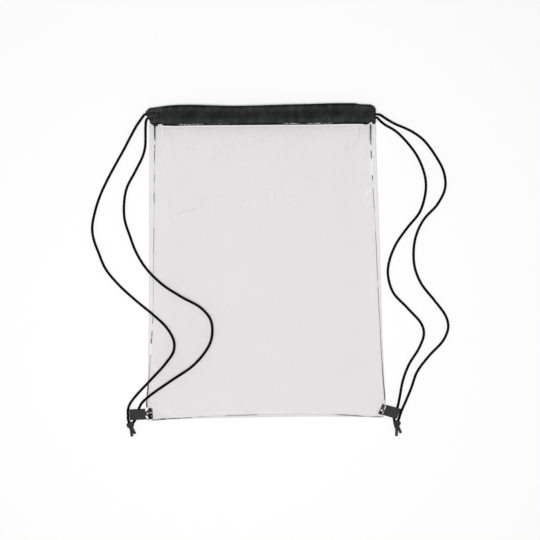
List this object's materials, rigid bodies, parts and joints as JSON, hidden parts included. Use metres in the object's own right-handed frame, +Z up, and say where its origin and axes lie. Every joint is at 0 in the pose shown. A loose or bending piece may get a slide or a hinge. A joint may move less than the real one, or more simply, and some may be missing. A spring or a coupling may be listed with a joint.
{
  "type": "clear stadium backpack",
  "caption": "Clear flat drawstring backpack lying front up: see-through pouch, black casings round the mouth, cords from the casings to the bottom corner loops.",
  "frame": {"origin": "the middle of the bag with its casings and tabs, on the surface that it lies on", "axes": "+X to the right seen from the front, +Y towards the mouth, +Z up out of the front panel"},
  "size_m": [0.5221, 0.4858, 0.0171],
  "materials": {
    "clear_film": "clear soft vinyl, glossy",
    "casing_fabric": "black woven polyester, matte",
    "ribbon": "black grosgrain ribbon",
    "cord": "black braided cord"
  },
  "bodies": {
    "root": {"back_panel": "clear_film", "front_panel": "clear_film", "casing_back": "casing_fabric", "casing_front": "casing_fabric", "tab_left": "ribbon", "tab_right": "ribbon", "cord_left_run": "cord", "cord_left_outer": "cord", "cord_left_inner": "cord", "cord_right_run": "cord", "cord_right_outer": "cord", "cord_right_inner": "cord", "knot_left": "cord", "knot_right": "cord"}
  },
  "joints": []
}
